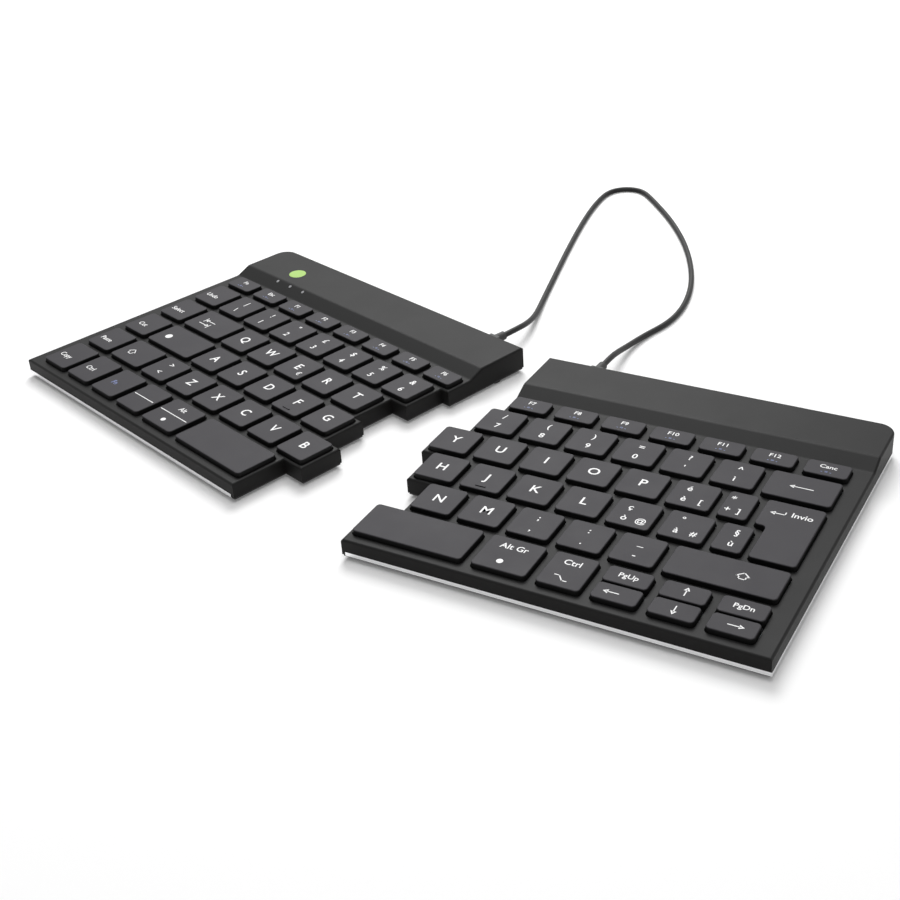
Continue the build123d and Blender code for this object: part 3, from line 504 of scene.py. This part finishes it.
# %% Words on the wide keys and at the left edge
SHORTCUT_X = -5 * PITCH / 2
SHORTCUT_SETBACK, SHORTCUT_DROP = 1.8, 1.6
shortcuts = {"number": "Undo", "upper": "Select", "home": "Cut", "lower": "Paste", "bottom": "Copy"}
for row, word in shortcuts.items():
    x, y = SHORTCUT_X - SHORTCUT_SETBACK, ROW_Y[row] - SHORTCUT_DROP
    letter("left_shortcut_keys", "left", word, x, y, WORD)
BIG_WORD, STACKED_WORD = 3.9, 3.3
FRONT_WORDS = [
    # node, half, word, x, step from the bottom row's middle, size, ink
    ("left_modifier_keys", "left", "Ctrl", -30.25, -0.9, WORD, white_ink),
    ("left_modifier_keys", "left", "Fn", -10.95, -0.9, WORD, blue_ink),
    ("left_modifier_keys", "left", "Alt", 31.5, 4.6, WORD, white_ink),
    ("alt_gr_key", "right", "Alt Gr", 52.4, 4.2, BIG_WORD, white_ink),
    ("right_ctrl_key", "right", "Ctrl", 74.0, 4.2, BIG_WORD, white_ink),
    ("page_up_key", "right", "PgUp", 93.4, 5.0, STACKED_WORD, white_ink),
    ("page_down_key", "right", "PgDn", 132.2, 5.0, STACKED_WORD, white_ink),
]
for node, half, word, x, rise, size, ink_used in FRONT_WORDS:
    letter(node, half, word, x, ROW_Y["bottom"] + rise, size, ink_used)
letter("enter_key", "right", "Invio", 133.4, 1.4, BIG_WORD)
letter("left_q_row_keys", "left", "€", 42.6, -3.8, WORD)

# %% [markdown]
# ## Arrows
# The arrows are drawn, not typed: each is a few straight strokes and a solid head. A stroke is
# a flat strip as thick as the ink, so an arrow is built like the letters beside it.

# %% Arrow strokes
STROKE = 0.4
ARROW_HEAD = 1.2


def stroke(node, half, start, end):
    """One straight strip of ink between two places of a half's plan."""
    (x0, y0), (x1, y1) = start, end
    bpy.ops.mesh.primitive_cube_add(size=1)
    strip = bpy.context.object
    size = Vector((math.hypot(x1 - x0, y1 - y0) + STROKE, STROKE, INK_THICKNESS)) * MM
    turn = Matrix.Rotation(math.atan2(y1 - y0, x1 - x0), 4, "Z")
    middle = ink_place(half, (x0 + x1) / 2, (y0 + y1) / 2)
    strip.matrix_world = middle @ turn @ Matrix.Diagonal((*size, 1))
    keep_mark(node, strip, white_ink)


def dot(node, half, x, y, radius, sides=24, towards=0.0):
    """A solid mark with so many sides: a round dot, or with three sides an arrow head."""
    bpy.ops.mesh.primitive_cylinder_add(
        vertices=sides, radius=radius * MM, depth=INK_THICKNESS * MM,
    )
    disc = bpy.context.object
    disc.matrix_world = ink_place(half, x, y) @ Matrix.Rotation(towards, 4, "Z")
    keep_mark(node, disc, white_ink)


def arrow(node, half, tail, tip):
    """A straight arrow on a key. A cylinder's first corner lies on y, a quarter turn past x."""
    towards = math.atan2(tip[1] - tail[1], tip[0] - tail[0]) - math.pi / 2
    stroke(node, half, tail, tip)
    dot(node, half, *tip, ARROW_HEAD, sides=3, towards=towards)


def outline_mark(node, half, points):
    """Strokes that join a chain of places."""
    for start, end in zip(points, points[1:]):
        stroke(node, half, start, end)


def shift_mark(node, half, x, y):
    """The hollow upward arrow of a shift key."""
    right_side = [(0, 2.0), (2.2, 0), (1.2, 0), (1.2, -1.5)]
    shape = right_side + [(-a, b) for a, b in reversed(right_side)]
    outline_mark(node, half, [(x + a, y + b) for a, b in shape])


# %% Arrows on the keys
arrow("backspace_key", "right", (131.6, 19.0), (124.4, 19.0))
arrow("enter_key", "right", (127.6, 0.6), (123.6, 0.6))
outline_mark("enter_key", "right", [(127.6, 0.6), (127.6, 2.0)])
arrow("arrow_left_key", "right", (94.0, -63.1), (89.8, -63.1))
arrow("arrow_down_key", "right", (113.0, -61.4), (113.0, -64.6))
arrow("arrow_up_key", "right", (113.0, -55.2), (113.0, -52.0))
arrow("arrow_right_key", "right", (130.4, -63.1), (134.6, -63.1))
shift_mark("right_shift_key", "right", 126.4, -38.2)
shift_mark("left_shift_key", "left", -29.6, -39.0)
arrow("tab_key", "left", (-23.4, 0.4), (-28.6, 0.4))
arrow("tab_key", "left", (-30.6, -2.8), (-25.4, -2.8))
outline_mark("tab_key", "left", [(-29.9, 1.9), (-29.9, -1.1)])
outline_mark("tab_key", "left", [(-24.1, -1.3), (-24.1, -4.3)])
dot("caps_lock_key", "left", -29.6, -19.9, 1.7)
dot("left_modifier_keys", "left", 31.2, -63.0, 1.1)
dot("alt_gr_key", "right", 51.2, -62.6, 1.2)
outline_mark("right_ctrl_key", "right",
             [(71.0, -61.6), (72.6, -61.6), (74.4, -64.0), (76.0, -64.0)])
outline_mark("left_modifier_keys", "left", [(3.4, -58.3), (16.4, -58.3)])
outline_mark("left_modifier_keys", "left", [(22.8, -58.3), (40.4, -58.3)])

# %% Joining the legends of each row
for node, legends in printed_marks.items():
    bpy.ops.object.select_all(action="DESELECT")
    for legend in legends:
        legend.select_set(True)
    bpy.context.view_layer.objects.active = legends[0]
    bpy.ops.object.convert(target="MESH")
    bpy.ops.object.transform_apply(location=True, rotation=True, scale=True)
    bpy.ops.object.join()
    printed = bpy.context.object
    printed.name = node.replace("_keys", "").replace("_key", "") + "_legends"
    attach(printed, node)
bpy.ops.object.select_all(action="DESELECT")
print("key pieces with legends:", len(printed_marks))

# %% [markdown]
# ## The desk and the light
# The photograph was taken on a white sweep under broad soft light. The desk is a large pale
# plane. Seen by the camera it glows a little, and more so away from the keyboard, so that it
# stays white where no shadow falls. The world behind it is white too.

# %% Desk
def seen_rays(tree):
    """1 on rays of the camera and on those that it sees by reflection or through glass, else 0."""
    rays = tree.nodes.new("ShaderNodeLightPath")
    direct = maths(tree, "MAXIMUM", rays.outputs["Is Camera Ray"], rays.outputs["Is Glossy Ray"])
    return maths(tree, "MAXIMUM", direct, rays.outputs["Is Transmission Ray"])


DESK_SIZE = 6.0
GLOW = (("From Min", 0.3), ("From Max", 1.0), ("To Min", 0.1), ("To Max", 1.0))
bpy.ops.mesh.primitive_plane_add(size=DESK_SIZE, location=(0, 0, 0))
desk = bpy.context.object
desk.name = "desk"
white = bpy.data.materials.new("white_sweep")
white.use_nodes = True
tree = white.node_tree
surface = tree.nodes["Principled BSDF"]
surface.inputs["Base Color"].default_value = (0.86, 0.86, 0.86, 1)
surface.inputs["Roughness"].default_value = 0.9
surface.inputs["Specular IOR Level"].default_value = 0.0
seen = seen_rays(tree)
surface.inputs["Emission Color"].default_value = (1, 1, 1, 1)
distance = tree.nodes.new("ShaderNodeVectorMath")
distance.operation = "LENGTH"
tree.links.new(tree.nodes.new("ShaderNodeTexCoord").outputs["Object"], distance.inputs[0])
glow = tree.nodes.new("ShaderNodeMapRange")
glow.interpolation_type = "SMOOTHSTEP"
tree.links.new(distance.outputs["Value"], glow.inputs["Value"])
for label, value in GLOW:
    glow.inputs[label].default_value = value
strength = maths(tree, "MULTIPLY", seen, glow.outputs["Result"])
tree.links.new(strength, surface.inputs["Emission Strength"])
desk.data.materials.append(white)

# %% World
world = bpy.data.worlds.new("studio")
bpy.context.scene.world = world
world.use_nodes = True
tree = world.node_tree
background = tree.nodes["Background"]
background.inputs["Color"].default_value = (1, 1, 1, 1)
seen = seen_rays(tree)
AMBIENT = 0.22
strength = maths(tree, "ADD", AMBIENT, maths(tree, "MULTIPLY", seen, 1.0 - AMBIENT))
tree.links.new(strength, background.inputs["Strength"])


# %% Lamps
def softbox(name, place, size, power):
    """A square area lamp that faces the middle of the desk."""
    bpy.ops.object.light_add(type="AREA", location=place)
    lamp = bpy.context.object
    lamp.name = name
    lamp.data.size = size
    lamp.data.energy = power
    lamp.rotation_mode = "QUATERNION"
    lamp.rotation_quaternion = (-Vector(place)).to_track_quat("-Z", "Y")


softbox("rear_softbox", (-0.55, 0.75, 1.05), 0.75, 17.0)
softbox("overhead_softbox", (0.1, 0.0, 1.3), 1.0, 7.0)
softbox("front_fill", (0.9, -0.9, 0.9), 0.8, 1.5)
bpy.context.scene.view_settings.view_transform = "Standard"
